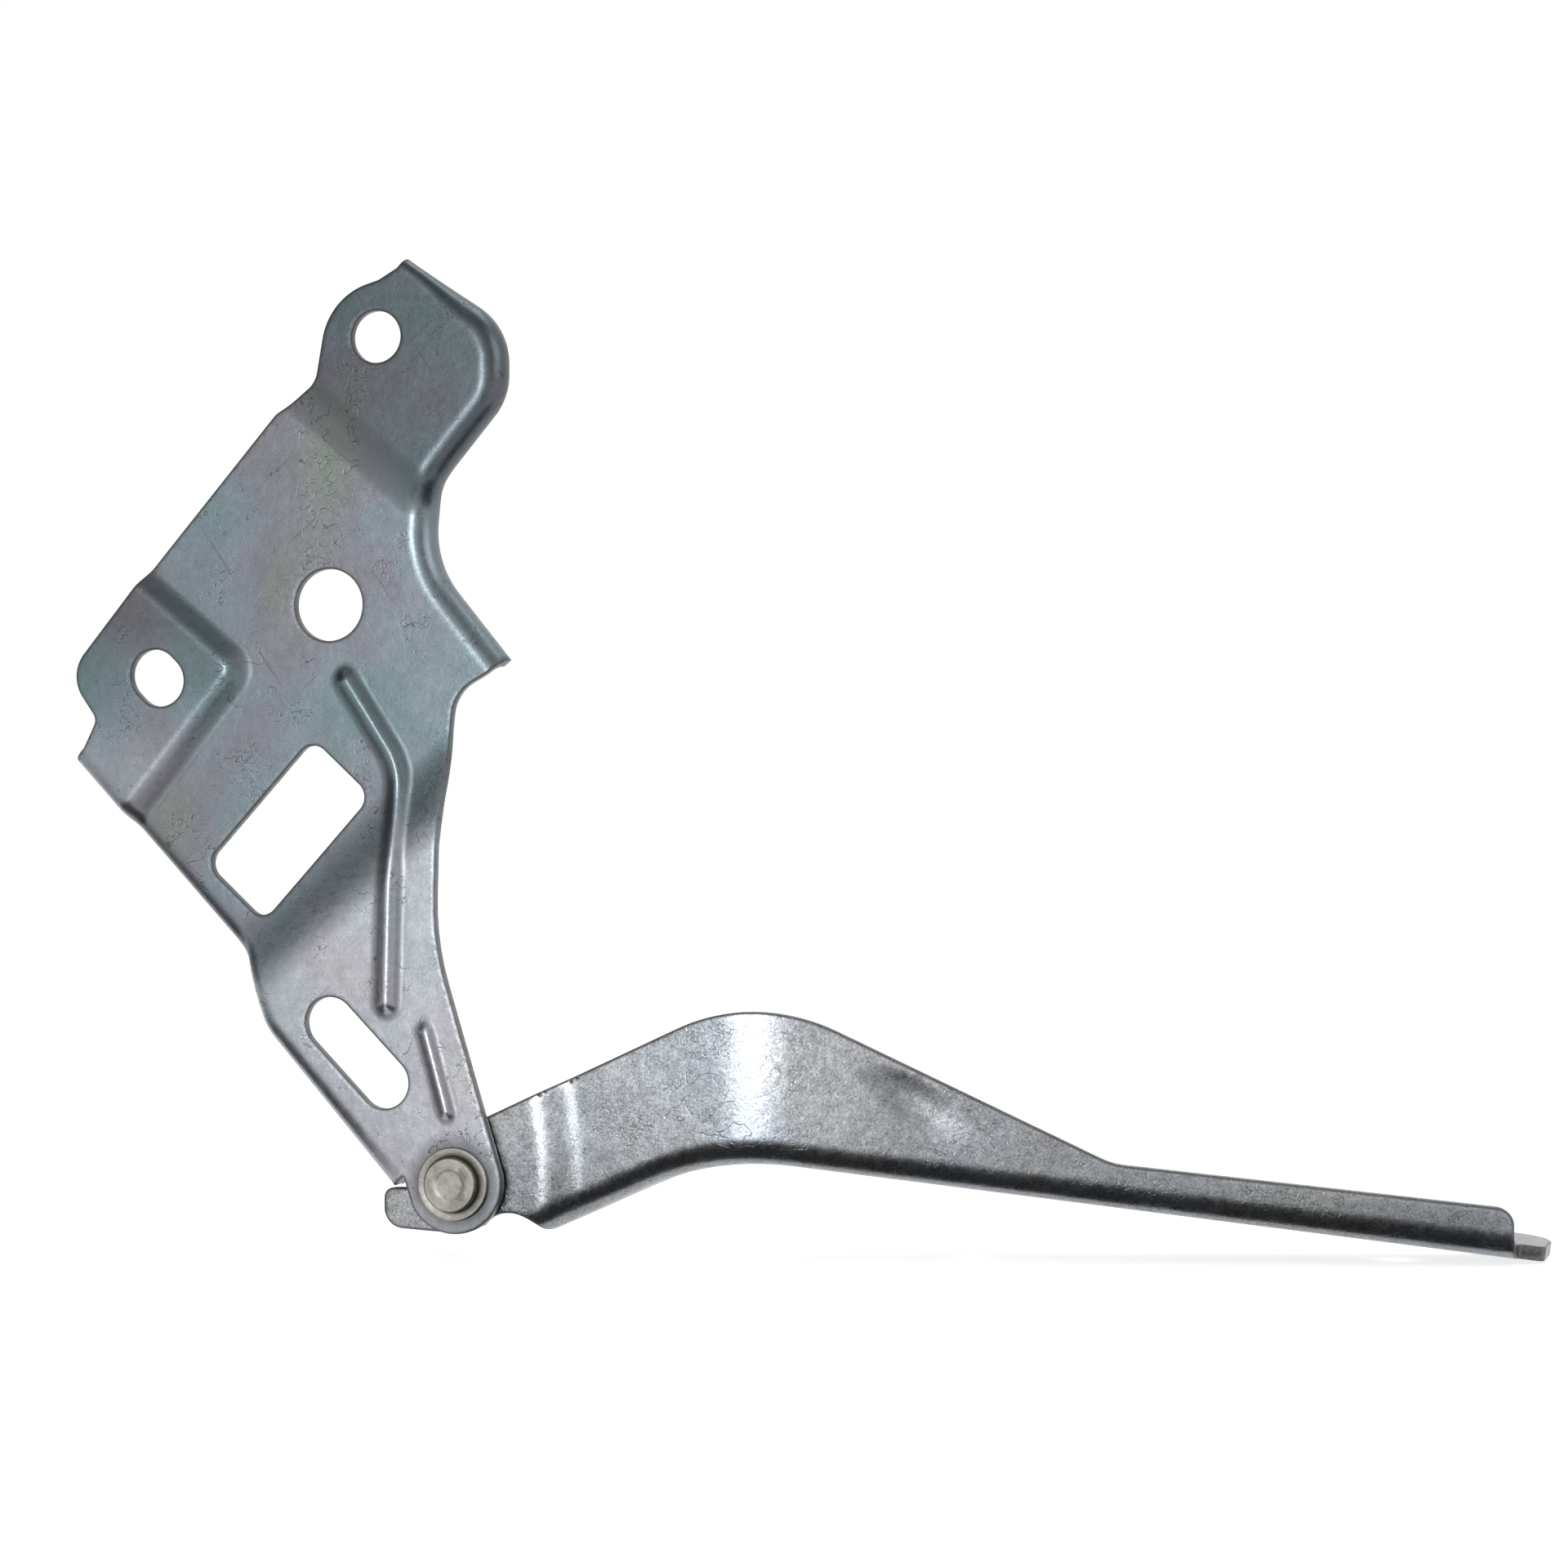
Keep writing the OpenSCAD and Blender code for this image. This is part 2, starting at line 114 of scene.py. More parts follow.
def rounded(points):
    """A path whose corners are arcs: a centre lies on the corner's bisector, r / sin(half angle) away."""
    out = [np.array(points[0][:2], float)[None]]
    for a, b, c in zip(points, points[1:], points[2:]):
        corner, r = np.array(b[:2], float), b[2] if len(b) > 2 else 0
        if not r:
            out.append(corner[None])
            continue
        u, v = unit(np.array(a[:2]) - corner), unit(np.array(c[:2]) - corner)
        half = np.arccos(np.clip(u @ v, -1, 1)) / 2
        centre = corner + unit(u + v) * r / np.sin(half)
        p, q = corner + u * r / np.tan(half) - centre, corner + v * r / np.tan(half) - centre
        start = np.arctan2(p[1], p[0])
        sweep = (np.arctan2(q[1], q[0]) - start + np.pi) % (2 * np.pi) - np.pi
        angles = start + sweep * np.linspace(0, 1, max(3, int(abs(sweep) / 0.05)))
        out.append(centre + r * np.stack([np.cos(angles), np.sin(angles)], 1))
    out.append(np.array(points[-1][:2], float)[None])
    return np.concatenate(out)


def spaced(path, step):
    """The same path with even spacing: coordinates interpolated over the length along it."""
    path = np.asarray(path, float)
    along = np.concatenate([[0], np.cumsum(np.linalg.norm(np.diff(path, axis=0), axis=1))])
    at = np.linspace(0, along[-1], int(along[-1] / step) + 2)
    return np.stack([np.interp(at, along, path[:, k]) for k in (0, 1)], 1)


def left_normals(path):
    """Unit vectors to the left of the way along an open path."""
    d = unit(np.gradient(path, axis=0))
    return np.stack([-d[:, 1], d[:, 0]], 1)


def nearest(path, p):
    """Nearest point of a path, how far p lies to its right (0 past its ends), and where along it."""
    a, b = path[:-1], path[1:]
    feet, away, place = np.empty_like(p), np.empty(len(p)), np.empty(len(p))
    for part in np.array_split(np.arange(len(p)), max(1, len(p) * len(a) // 2000000)):
        d = p[part, None] - a
        u = np.clip((d * (b - a)).sum(-1) / ((b - a) ** 2).sum(-1), 0, 1)
        gap = np.linalg.norm(d - u[..., None] * (b - a), axis=-1)
        k = gap.argmin(1)
        row = np.arange(len(part))
        foot = a[k] + u[row, k, None] * (b - a)[k]
        side = (b - a)[k]
        cross = side[:, 1] * (p[part] - foot)[:, 0] - side[:, 0] * (p[part] - foot)[:, 1]
        past = ((k == 0) & (u[row, k] <= 0)) | ((k == len(a) - 1) & (u[row, k] >= 1))
        feet[part], place[part] = foot, k + u[row, k]
        away[part] = np.where(past, 0, np.sign(cross) * gap[row, k])
    return feet, away, place


print("a rounded corner has", len(rounded([(0, 0), (10, 0, 4), (10, 10)])), "points")

# %% [markdown]
# ## From a blank to a pressed sheet
# The blank's outline and holes become loops, and a hexagonal grid of points fills the metal between them.
# A constrained Delaunay triangulation joins them all. Every flat point then goes through the piece's own
# surface formula to the front face, and along the normal to the back face. The true normals of a narrow
# bead would cross on the back, so a sheet may take them from a gentler backing surface. Sheared edges are
# never knife sharp, so a quarter-round profile is carried along each loop. Two attributes are kept for the
# finish: how far a point is from a cut edge, and how strongly the sheet is folded, hollow or proud.

# %% The sheet maker
FOLD_REACH = 1.2


def inside(loops, p):
    """Even-odd rule: a point is in the metal when a ray along +X crosses the loops an odd number of times."""
    a = np.concatenate(loops)
    b = np.concatenate([np.roll(q, -1, axis=0) for q in loops])
    odd = np.zeros(len(p), bool)
    for part in np.array_split(np.arange(len(p)), max(1, len(p) * len(a) // 4000000)):
        x, z = p[part, 0, None], p[part, 1, None]
        spans = (a[:, 1] > z) != (b[:, 1] > z)
        with np.errstate(divide="ignore", invalid="ignore"):
            cross = a[:, 0] + (z - a[:, 1]) / (b[:, 1] - a[:, 1]) * (b[:, 0] - a[:, 0])
        odd[part] = (spans & (x < cross)).sum(1) % 2 == 1
    return odd


def to_edge(loops, p):
    """The distance from each point to the nearest loop."""
    return np.min([np.abs(nearest_gap(np.vstack([q, q[:1]]), p)) for q in loops], axis=0)


def nearest_gap(path, p):
    return np.linalg.norm(p - nearest(path, p)[0], axis=1)


def frame_of(surface, p, h=0.02):
    """Point, unit normal towards the back, and fold: how far it lies behind the mean of four neighbours."""
    at = surface(p)
    dx, dz = np.array([h, 0]), np.array([0, h])
    n = unit(np.cross(surface(p + dz) - surface(p - dz), surface(p + dx) - surface(p - dx)))
    ring = [surface(p + FOLD_REACH * turn(angle)) for angle in (0, 90, 180, 270)]
    return at, n, ((at - np.mean(ring, axis=0)) * n).sum(1)


def sheet_mesh(name, outline, holes, surface, thickness, pitch, edge=0.3, zone=None, backing=None):
    """A closed sheet: surface(p) in front, surface(p) + thickness * normal behind, with round edges.
    A backing surface has gentler folds, and gives the normals for the back."""
    loops = []
    for k, loop in enumerate([outline] + holes):
        q = spaced(np.vstack([loop, loop[:1]]), pitch * 0.75)[:-1]
        area = (q[:, 0] * np.roll(q[:, 1], -1) - q[:, 1] * np.roll(q[:, 0], -1)).sum()
        loops.append(q if (area > 0) == (k == 0) else q[::-1])
    ring = [np.vstack([q[-1:], q, q[:1]]) for q in loops]
    inset = [q + edge * left_normals(r)[1:-1] for q, r in zip(loops, ring)]
    low, high = loops[0].min(0), loops[0].max(0)
    gx, gz = np.meshgrid(np.arange(low[0], high[0], pitch), np.arange(low[1], high[1], pitch * 0.866))
    gx[1::2] += pitch / 2
    grid = np.stack([gx.ravel(), gz.ravel()], 1)
    grid = grid[inside(inset, grid)]
    grid = grid[to_edge(inset, grid) > 0.55 * pitch]
    points = np.concatenate(inset + [grid])
    starts = np.cumsum([0] + [len(q) for q in inset])
    links = np.concatenate([np.stack([np.arange(len(q)), np.roll(np.arange(len(q)), -1)], 1) + s
                            for q, s in zip(inset, starts)])
    flat, _, tris, origin, *_ = delaunay_2d_cdt([Vector(q) for q in points.tolist()], links.tolist(),
                                                [], 0, 1e-5)
    flat, tris = np.array([tuple(q) for q in flat]), np.array(tris)
    tris = tris[inside(inset, flat[tris].mean(1))]
    new_of = np.zeros(len(points), int)
    sources = np.concatenate([np.array(o, int) for o in origin])
    new_of[sources] = np.repeat(np.arange(len(flat)), [len(o) for o in origin])
    front, normal, fold = frame_of(surface, flat)
    n = len(flat)
    behind = frame_of(backing, flat)[1] if backing else normal
    verts, folds, edges = [front, front + thickness * behind], [fold, -fold], [to_edge(inset, flat)] * 2
    faces = [tris, tris[:, ::-1] + n]
    rims, total = [], 2 * n
    profile = [(edge * np.sin(a), edge * (1 - np.cos(a))) for a in np.radians([30, 60, 90])]
    profile += [(a, thickness - b) for a, b in profile[::-1]]
    for q, true, s in zip(inset, loops, starts):
        idx = new_of[s:s + len(q)]
        out = surface(true) - front[idx]
        out = unit(out - (out * normal[idx]).sum(1, keepdims=True) * normal[idx])
        rows = [idx]
        for a, b in profile:
            verts.append(front[idx] + a * out + b * normal[idx])
            folds.append(fold[idx] * 0 - 0.05)
            edges.append(fold[idx] * 0)
            rows.append(np.arange(len(q)) + total)
            total += len(q)
        rows.append(idx + n)
        rims += [np.stack([u, v, np.roll(v, -1), np.roll(u, -1)], 1) for u, v in zip(rows, rows[1:])]
    verts = np.concatenate(verts)
    # A zone function gives the bracket's painted light and shade, kept as a point attribute.
    extra = {"zone": zone(verts[:, [0, 2]])} if zone else {}
    return add_mesh(name, verts, [np.concatenate(faces), np.concatenate(rims)],
                    fold=np.concatenate(folds), edge=np.concatenate(edges), **extra)


def add_mesh(name, verts, face_sets, **attributes):
    """Puts millimetre points into a smooth mesh object at the origin."""
    mesh = bpy.data.meshes.new(name)
    mesh.from_pydata((verts * MM).tolist(), [], [f for faces in face_sets for f in faces.tolist()])
    for key, values in attributes.items():
        mesh.attributes.new(key, "FLOAT", "POINT").data.foreach_set("value", values.astype(np.float32))
    mesh.shade_smooth()
    mesh.validate()
    piece = bpy.data.objects.new(name, mesh)
    bpy.context.collection.objects.link(piece)
    print(name, len(mesh.vertices), "vertices,", sum(len(q.vertices) - 2 for q in mesh.polygons), "triangles")
    return piece


# %% [markdown]
# ## The body bracket
# The bracket's form is a sum of simple presses: two seating pads stand 3 mm towards the viewer, the pivot
# zone steps 4 mm the same way, and two beads stiffen the neck. Each ramp eases in and out with a cosine.
# The two bends are rolled from the flat blank: past its bend line a point goes round an arc of the bend's
# radius, and then straight back. Modelling on the blank keeps the rolled metal the length it really has.

# %% The bracket's pressed depth
def ease(u):
    """0 before 0, 1 after 1, (1 - cos(pi u)) / 2 between."""
    return (1 - np.cos(np.pi * np.clip(u, 0, 1))) / 2


def past_line(p, at, degrees, width):
    """A ramp across a straight line: 0 on its right, 1 on its left."""
    return ease((p - at) @ turn(degrees + 90) / width + 0.5)


PAD_RISE, STEP_RISE, MAIN_Y = 3.0, 4.0, 3.0
PAD_CORNER, PAD_CORNER_R, PAD_DIR = LOWER + [14, 1.8], 8.0, 140.5
LONG_BEAD = spaced(rounded(off(PIVOT, (-26.5, 110.5), (-14.2, 91.5, 14), (-15.5, 39.2))), 1)
SHORT_BEAD = spaced(rounded(off(PIVOT, (-6.5, 33.5), (-1.5, 15.5))), 1)


def bead(p, path, width, height):
    """A round-nosed ridge: height * (1 + cos(pi t ** 0.9)) / 2, t being the distance over half the width."""
    return height * (1 - ease((nearest_gap(path, p) / (width / 2)) ** 0.9))


def presses(p):
    """How far the upper pad, the lower pad and the pivot zone are pressed out at p, each from 0 to 1."""
    q = p - PAD_CORNER
    a, b = -q @ turn(PAD_DIR), -q @ turn(PAD_DIR + 90)
    inset = PAD_CORNER_R - np.where((a > 0) & (b > 0), np.hypot(a, b), np.maximum(a, b))
    return (past_line(p, UPPER + 21.1 * turn(-130), -40, 10.5), ease(inset / 6.4),
            past_line(p, PIVOT + 67.7 * turn(131), 221, 18))


def bracket_depth(p, beads=1.0):
    """Depth of the front face: the plate's depth less each press that stands towards the viewer."""
    upper_pad, lower_pad, step = presses(p)
    return (MAIN_Y - PAD_RISE * (upper_pad + lower_pad) - STEP_RISE * step
            - beads * (bead(p, LONG_BEAD, 7, 1.9) + bead(p, SHORT_BEAD, 4.6, 1.2)))


def bracket_light_and_shade(p):
    """Painted light and shade: below 0 on the two seating pads (painted shade), 0 on the plate, above 0 at
    the pivot end (painted light).
    """
    upper_pad, lower_pad, step = presses(p)
    # Painted shade on the lower pad is darker towards its top and turns to painted light at its bottom.
    return step - 1.05 * upper_pad - np.interp(p[:, 1], (-95, -62), (-0.4, 0.85)) * lower_pad


# %% The bracket's bends
LEFT_R = 4.0
right_edge = spaced(rounded(off(UPPER, (28.4, -71.2), (4.7, -42.4, 21.5), (29, -13.7, 14), (29, 1.6, 15),
                                (6.5, 17.2))), 0.6)
left_edge = spaced(rounded(off(LOWER, (-20.85, -18.35), (20, -61.7, 10), (25.7, -78, 15))
                           + off(PIVOT, (-14.8, -1.2))), 0.6)
right_r = 5 - 2.4 * ease((np.arange(len(right_edge)) / len(right_edge) - 0.82) / 0.16)
left_r = np.full(len(left_edge), LEFT_R)
right_bend = right_edge + right_r[:, None] * left_normals(right_edge)
left_bend = left_edge + LEFT_R * left_normals(left_edge)


def bracket_front(p, beads=1.0):
    """Flat blank to front face: past a bend line by s, a point goes r sin(s/r) out, r (1 - cos(s/r)) back."""
    place, depth = p.astype(float), np.zeros(len(p))
    for line, radii in ((right_bend, right_r), (left_bend, left_r)):
        foot, s, place_on = nearest(line, p)
        r = np.interp(place_on, np.arange(len(line)), radii)
        s = np.where(s < 14, np.maximum(s, 0), 0)
        outward = (p - foot) / np.maximum(s, 1e-9)[:, None]
        a = np.minimum(s / r, np.pi / 2)
        bent = s > 0
        place[bent] = (foot + (r * np.sin(a))[:, None] * outward)[bent]
        depth += np.where(bent, r * (1 - np.cos(a)) + np.maximum(s - r * np.pi / 2, 0), 0)
        p = np.where(bent[:, None], foot, p)
    return np.stack([place[:, 0], bracket_depth(p, beads) + depth, place[:, 1]], 1)


def bracket_backing(p):
    """The front face with its beads at a third of their height."""
    return bracket_front(p, 0.33)


# %% The bracket's blank and its mesh
SHEET_T = 2.5
RIGHT_LEG, LEFT_LEG = 6.5, 8.0
down = np.linspace(1, 0, len(right_bend))
right_width = right_r * np.pi / 2 + 0.3 + (RIGHT_LEG - 5.3) * ease(down / 0.2)
right_free = right_bend - left_normals(right_edge) * right_width[:, None]
left_free = left_bend - left_normals(left_edge) * (LEFT_R * np.pi / 2 + LEFT_LEG - LEFT_R)
bracket_blank = np.vstack([
    left_free[:1],
    rounded(off(left_bend[0], (0, 0)) + off(LOWER, (-14.8, -9.2, 2.5), (-21.8, 0.9, 8), (-1.2, 25.8, 30))
            + off(UPPER, (-25, -16.2, 6), (-14.4, -9.9, 5), (-11.1, 9, 15), (0.6, 12.5, 3))
            + [tuple(right_bend[-1])]),
    right_free[::-1],
    rounded([tuple(right_bend[0])] + off(PIVOT, (-1.4, 107.5, 9), (-3.9, 84, 40), (-4.7, 53, 60))
            + [tuple(PIVOT + 11 * turn(16))]),
    arc(PIVOT, 11, 12, -151),
    left_bend[-1:], left_free[::-1]])


def slot(centre, run, width, degrees):
    """A slot's outline: two half circles of the width's half, run apart."""
    ends = [np.asarray(centre) + k * run * turn(degrees) for k in (0.5, -0.5)]
    return np.array(arc(ends[0], width / 2, degrees - 90, degrees + 90)
                    + arc(ends[1], width / 2, degrees + 90, degrees + 270))


def window(centre, length, width, r, degrees):
    """A rounded rectangle: four quarter circles of radius r."""
    a, b = turn(degrees) * (length / 2 - r), turn(degrees + 90) * (width / 2 - r)
    corners = [(a - b, -90), (a + b, 0), (b - a, 90), (-a - b, 180)]
    turned_by = [(np.asarray(centre) + c, degrees + start) for c, start in corners]
    return np.array(sum([arc(c, r, start, start + 90) for c, start in turned_by], []))


bracket_holes = [
    np.array(arc(UPPER, 5.75, 0, 356)), slot(LOWER, 1.8, 11.5, 135),
    np.array(arc(UPPER + [-12.4, -58.8], 8, 0, 356)),
    window(LOWER + [30.2, -34], 38, 18.9, 3.8, 47.5), slot(PIVOT + [-22.7, 28.3], 18.2, 11.4, -45.5),
    np.array(arc(PIVOT, 4.5, 0, 356))]
bracket = sheet_mesh("bracket_sheet", bracket_blank, bracket_holes, bracket_front, SHEET_T, 0.8,
                     zone=bracket_light_and_shade, backing=bracket_backing)
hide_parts("body_bracket")
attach(bracket, "bracket")
print("bracket's blank is", np.ptp(bracket_blank, axis=0).round(1), "mm")

# %% [markdown]
# ## The hood arm
# The arm is drawn flat in the same way, in millimetres from the pivot. Its land round the pivot is
# raised, the web behind it steps back 2.5 mm, and after the hump the whole web turns away by 14 degrees.
# Below the bend line the blank rolls back into the flange that carries the hood. A lens-shaped dent is
# pressed into the web where it tapers.

# %% The arm's lines
ARM_T, ARM_FRONT, ARM_STEP, ARM_BEND_R = 3.2, 3.4, 2.5, 6.0
LAND_REACH, LAND_RAMP = 17.5, 11.0
ARM_TURN = np.radians(14)
BEND_START, BEND_END = 58.0, 74.0
BEND_R = (BEND_END - BEND_START) / ARM_TURN
WEB_REACH, FLANGE_TIP, FLANGE_SLOPE = 225.0, 5.5, 0.1285
ARM_AT = np.array([PIVOT[0], -1.0, PIVOT[1]])
top_line = spaced(rounded([(-7, 8.4), (66.9, 42.6, 40), (141.7, 5.7, 16), (245, -5.9)]), 0.5)
low_line = spaced(rounded([(-30, -33.3), (56.7, 6.71, 60), (245, 14 - FLANGE_SLOPE * 245)]), 0.5)
width_line = spaced(rounded([(18, 5.9), (78, 27, 40), (245, 27)]), 0.5)


def along(line, x):
    return np.interp(x, line[:, 0], line[:, 1])


def web_depth(x):
    """Depth of the web: flat, then an arc of 14 degrees, then a straight slope."""
    a = np.clip((x - BEND_START) / BEND_R, 0, ARM_TURN)
    return ARM_FRONT + ARM_STEP + BEND_R * (1 - np.cos(a)) + np.maximum(x - BEND_END, 0) * np.tan(ARM_TURN)


def arm_front(p):
    """Flat blank to front face: the land's step, the dent, and below the bend line the rolled flange."""
    x, w = p.T
    fold_z = along(low_line, x) + ARM_BEND_R
    s = np.maximum(fold_z - w, 0)
    a = np.minimum(s / ARM_BEND_R, np.pi / 2)
    z = np.maximum(w, fold_z) - ARM_BEND_R * np.sin(a)
    land = 1 - ease((np.hypot(np.maximum(x, 0), np.where(x > 0, 0.45 * z, 0)) - LAND_REACH) / LAND_RAMP)
    q = np.stack([x, w], 1) - [101.8, 17.4]
    lengthwise = q @ turn(-36.5) / 15.5
    across = q @ turn(53.5)
    lens = np.clip(1 - lengthwise ** 2 - (across / np.where(across > 0, 6.2, 5.0)) ** 2, 0, 1)
    y = web_depth(x) - ARM_STEP * land + 0.7 * (1 - lengthwise) * lens ** 1.7
    y = y + ARM_BEND_R * (1 - np.cos(a)) + np.maximum(s - ARM_BEND_R * np.pi / 2, 0)
    return np.stack([x, y, z], 1) + ARM_AT


# %% The arm's blank and its mesh
def on_flange(x, reach):
    """Flat blank point of a flange point that lies reach behind the web's front face."""
    return np.stack([x, along(low_line, x) + ARM_BEND_R * (2 - np.pi / 2) - reach], 1)


edge_x = np.linspace(20.6, WEB_REACH + FLANGE_TIP, 160)
tip_round = 8 - np.sqrt(64 - np.clip(edge_x - WEB_REACH - FLANGE_TIP + 8, 0, 8) ** 2)
free_edge = on_flange(edge_x, along(width_line, edge_x) - tip_round)
end_x = np.array([WEB_REACH + FLANGE_TIP, WEB_REACH])
tab = on_flange(end_x, np.array([ARM_BEND_R + 0.4, ARM_BEND_R + 0.4]))
top = top_line[(top_line[:, 0] > -4.3) & (top_line[:, 0] < WEB_REACH)]
arm_blank = np.vstack([
    rounded([(-10.4, -1.45), (-17.6, -1.45, 2.2), (-17.6, -10.2, 4.5), (-4, -11, 8), (5.2, -9.6)]),
    arc((11.5, -14.4), 8, 140, 38),
    free_edge,
    rounded([tuple(free_edge[-1]), (*tab[0], 1.5), (*tab[1], 0.8), (WEB_REACH, top[-1, 1], 4),
             tuple(top[-10])]),
    top[-10::-1],
    arc((0, 0), 10.5, 114.8, 187.9)])


def flange_hole(x, r):
    """A hole that is round on the turned flange: offsets along the arm also carry its rim backwards."""
    a = np.radians(np.arange(0, 360, 6))
    dx, dy = r * np.cos(a) * 0.991, r * np.sin(a)
    reach = web_depth(np.array([x])) + 16 + dy - web_depth(x + dx)
    return on_flange(x + dx, reach)


arm_holes = [np.array(arc((0, 0), 5.5, 0, 356)), flange_hole(112.0, 4.5), flange_hole(198.6, 4.5)]
arm = sheet_mesh("arm_sheet", arm_blank, arm_holes, arm_front, ARM_T, 0.9, edge=0.4)
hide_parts("hood_arm")
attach(arm, "arm")
print("arm's blank is", np.ptp(arm_blank, axis=0).round(1), "mm")

# %% [markdown]
# ## The rivet and its washer
# Turned pieces are a profile carried round an axis. The formed head is flat with a shallow ring where the
# tool pressed it, and the washer's rim is rounded, so both profiles have small arcs at their corners.

# %% Turned pieces
def turned(name, profile, steps=96):
    """Surface of revolution about the pivot: (r cos a, y, r sin a) for each (r, y) of a closed profile."""
    path = rounded(profile)
    path = path[np.concatenate([[True], np.linalg.norm(np.diff(path, axis=0), axis=1) > 1e-4])]
    a = np.radians(np.arange(steps) * 360 / steps)
    r, y = path[:, :1], path[:, 1:]
    ring = np.stack([r * np.cos(a), y + 0 * a, r * np.sin(a)], -1)
    k = np.arange(len(path) * steps).reshape(len(path), steps)
    ahead = np.roll(k, -1, axis=1)
    quads = np.stack([k[:-1], ahead[:-1], ahead[1:], k[1:]], -1).reshape(-1, 4)
    piece = add_mesh(name, ring.reshape(-1, 3) + ARM_AT, [quads])
    close(piece.data)
    return piece


def close(mesh):
    """Merges the doubled points at poles and the seam of a closed profile, and turns the faces outwards."""
    bm = bmesh.new()
    bm.from_mesh(mesh)
    bmesh.ops.remove_doubles(bm, verts=bm.verts, dist=1e-6)
    bmesh.ops.recalc_face_normals(bm, faces=bm.faces)
    bm.to_mesh(mesh)
    bm.free()


SET_HEAD_Y = 7.7
rivet = turned("rivet", [
    (0, -2.62), (2.9, -2.62, 0.8), (3.5, -2.8, 0.8), (6, -2.8, 0.45), (6, -1, 0.15), (4.5, -1, 0.05),
    (4.5, SET_HEAD_Y, 0.05), (8, SET_HEAD_Y, 0.4), (8, 9.9, 1.2), (6.4, 10.7, 1.0), (0, 10.7)])
washer = turned("washer", [(4.5, -1), (8.1, -1, 0.35), (8.1, 0, 0.2), (4.5, 0), (4.5, -1)])
for piece, node in ((rivet, "pivot_rivet"), (washer, "head_washer")):
    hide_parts(node)
    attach(piece, "bracket")

# %% [markdown]
# ## Writing shader maths
# A small class wraps an output socket, so that masks are written as plain expressions. Everything else
# comes from one method that takes the node's type, its settings and what goes into its sockets.

# %% Sockets as values
class Value:
    """An output socket that takes part in sums, products and powers."""
    def __init__(self, finish, socket):
        self.finish, self.socket = finish, socket

    def math(self, operation, *others, clamp=False):
        return self.finish.node("ShaderNodeMath", {"operation": operation, "use_clamp": clamp},
                                dict(enumerate((self, *others))))

    def __add__(self, other): return self.math("ADD", other)
    def __mul__(self, other): return self.math("MULTIPLY", other)
    def __sub__(self, other): return self.math("SUBTRACT", other)
    def __rsub__(self, other): return self * -1 + other
    def __truediv__(self, other): return self.math("DIVIDE", other)
    def __pow__(self, other): return self.math("POWER", other)
    __radd__, __rmul__ = __add__, __mul__

    def span(self, low, high):
        """0 at low and below, 1 at high and above."""
        return ((self - low) / (high - low)).math("MULTIPLY", 1, clamp=True)


class Finish:
    """A material, and the nodes that feed its shader."""
    def __init__(self, name):
        self.material = bpy.data.materials.new(name)
        self.material.use_nodes = True
        self.tree = self.material.node_tree
        self.shader = self.tree.nodes["Principled BSDF"]

    def node(self, kind, settings=None, inputs=None, out=0):
        n = self.tree.nodes.new(kind)
        for key, value in (settings or {}).items():
            if key == "stops":
                ramp = n.color_ramp
                while len(ramp.elements) < len(value):
                    ramp.elements.new(0.5)
                for element, (at, colour) in zip(ramp.elements, value):
                    element.position, element.color = at, (*colour, 1)
            else:
                setattr(n, key, value)
        for key, value in (inputs or {}).items():
            self.feed(n.inputs[key], value)
        return Value(self, n.outputs[out])

    def feed(self, socket, value):
        if isinstance(value, Value):
            self.tree.links.new(value.socket, socket)
        else:
            socket.default_value = value

    def mix(self, factor, a, b):
        return self.node("ShaderNodeMix", {"data_type": "RGBA"}, {0: factor, 6: a, 7: b}, out=2)

    def noise(self, at, scale, detail=3.0, roughness=0.5):
        return self.node("ShaderNodeTexNoise", None,
                         {"Vector": at, "Scale": scale, "Detail": detail, "Roughness": roughness})

    def attribute(self, name):
        return self.node("ShaderNodeAttribute", {"attribute_name": name}, None, out="Fac")

    def finish(self, **sockets):
        for key, value in sockets.items():
            self.feed(self.shader.inputs[key.replace("_", " ")], value)
        return self.material


def srgb(r, g, b):
    """A colour given from 0 to 255, as the linear values that a shader takes."""
    return (*(((np.array([r, g, b]) / 255 + 0.055) / 1.055) ** 2.4).tolist(), 1)


# %% [markdown]
# ## The plated finish
# Zinc plating with a passivated skin is a grey metal with faint teal, violet and straw patches. The skin
# is thin, so the patches are wide and soft. On top come a fine spangle, short crooked hairlines, straight
# scratches, dark sheared edges, painted shade where the sheet is folded hollow, and a painted shadow ring
# round the washer. Folds and edges come from the mesh's own attributes, so that the painted shade and the
# cut edges follow the pressing. Painted light and shade also differ by zone: painted shade makes the seating
# pads duller than the plate, and painted light makes the pivot end paler and more mottled.

# %% Plated steel
def squiggles(f, at, scale, width, size, keep):
    """Short crooked hairlines: the contour |noise - 0.5| < width, kept in the patches of a coarser noise."""
    contour = (f.noise(at, scale, 1.5, 0.6) - 0.5).math("ABSOLUTE")
    return (1 - contour.span(width * 0.3, width)) * f.noise(at, size, 2.0).span(keep, keep + 0.05)


def scratches(f, at, degrees, keep):
    """Straight hairlines: a noise drawn out 25 times along one direction of the plate."""
    turned_at = f.node("ShaderNodeMapping", None, {"Vector": at, "Rotation": (0, np.radians(degrees), 0)})
    drawn = f.node("ShaderNodeMapping", None, {"Vector": turned_at, "Scale": (1, 1, 0.04)})
    return f.noise(drawn, 900, 1.0).span(keep, keep + 0.05)


def from_pivot(f, at):
    """Distance from the pivot's axis in millimetres."""
    centred = f.node("ShaderNodeVectorMath", {"operation": "MULTIPLY_ADD"},
                     {0: at, 1: (1, 0, 1), 2: (-PIVOT[0] * MM, 0, -PIVOT[1] * MM)})
    return f.node("ShaderNodeVectorMath", {"operation": "LENGTH"}, {0: centred}, out=1) * 1000


